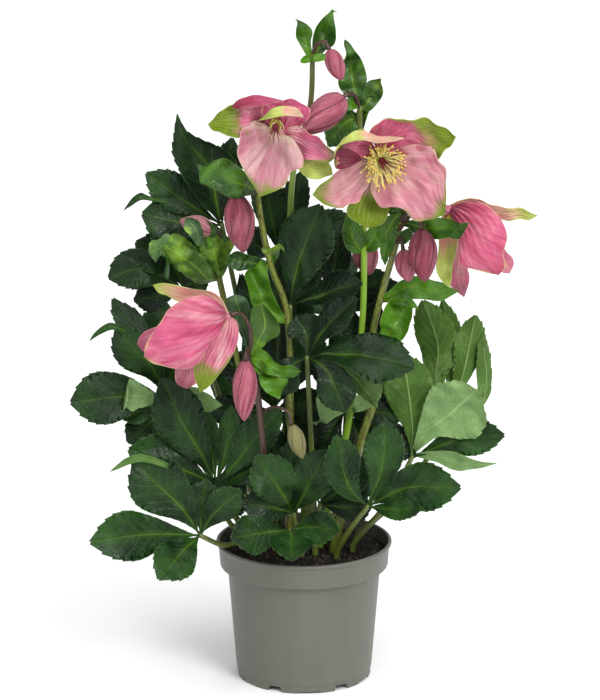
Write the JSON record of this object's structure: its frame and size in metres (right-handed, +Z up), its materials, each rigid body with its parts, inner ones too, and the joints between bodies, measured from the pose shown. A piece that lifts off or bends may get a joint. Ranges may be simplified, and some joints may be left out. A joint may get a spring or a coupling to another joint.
{
  "type": "potted christmas rose",
  "caption": "Flowering hellebore with toothed green leaves, nodding pink blooms and closed buds, growing in soil in a round grey-taupe nursery pot.",
  "frame": {"origin": "centre of the pot's foot, on the surface that the pot stands on", "axes": "+Z up along the pot's axis; -Y towards the front of the plant, where the open blooms face; +X to the right as seen from the front"},
  "size_m": [0.3378, 0.2182, 0.5029],
  "materials": {
    "pot_plastic": "satin grey-taupe moulded plastic",
    "potting_soil": "dark, damp, fibrous potting soil",
    "leaf_green": "satin dark green leaf with pale midribs",
    "stem_green": "satin green stem, speckled with brown",
    "sepal_pink": "soft pink petal-like sepal with green tips",
    "stamen_cream": "matte cream and yellow",
    "style_red": "satin dark red",
    "bud_rose": "soft dusky rose"
  },
  "bodies": {
    "root": {"pot": "pot_plastic", "soil": "potting_soil", "leaf_low_left": "leaf_green", "leaf_left": "leaf_green", "leaf_front": "leaf_green", "leaf_front_centre": "leaf_green", "leaf_low_right": "leaf_green", "leaf_right": "leaf_green", "leaf_high_right": "leaf_green", "leaf_centre": "leaf_green", "leaf_upper_centre": "leaf_green", "leaf_upper_left": "leaf_green", "leaf_mid_left": "leaf_green", "leaf_far_left": "leaf_green", "leaf_behind_blooms": "leaf_green", "leaf_back_left": "leaf_green", "leaf_back_low": "leaf_green", "leaf_back": "leaf_green", "leaf_back_right": "leaf_green", "leaf_back_high": "leaf_green", "stem_top": "stem_green", "stem_right_centre": "stem_green", "stem_right": "stem_green", "stem_centre": "stem_green", "stem_left": "stem_green", "stem_front_left": "stem_green", "bloom_left_sepals": "sepal_pink", "bloom_left_stamens": "stamen_cream", "bloom_left_styles": "style_red", "bloom_centre_sepals": "sepal_pink", "bloom_centre_stamens": "stamen_cream", "bloom_centre_styles": "style_red", "bloom_right_sepals": "sepal_pink", "bloom_right_stamens": "stamen_cream", "bloom_right_styles": "style_red", "bloom_low_left_sepals": "sepal_pink", "bloom_low_left_stamens": "stamen_cream", "bloom_low_left_styles": "style_red", "bud_top": "bud_rose", "bud_upper": "bud_rose", "bud_centre_left": "bud_rose", "bud_right": "bud_rose", "bud_hidden": "bud_rose", "bud_behind": "bud_rose", "bud_left": "bud_rose", "bud_low": "bud_rose", "bud_small": "bud_rose"}
  },
  "joints": []
}
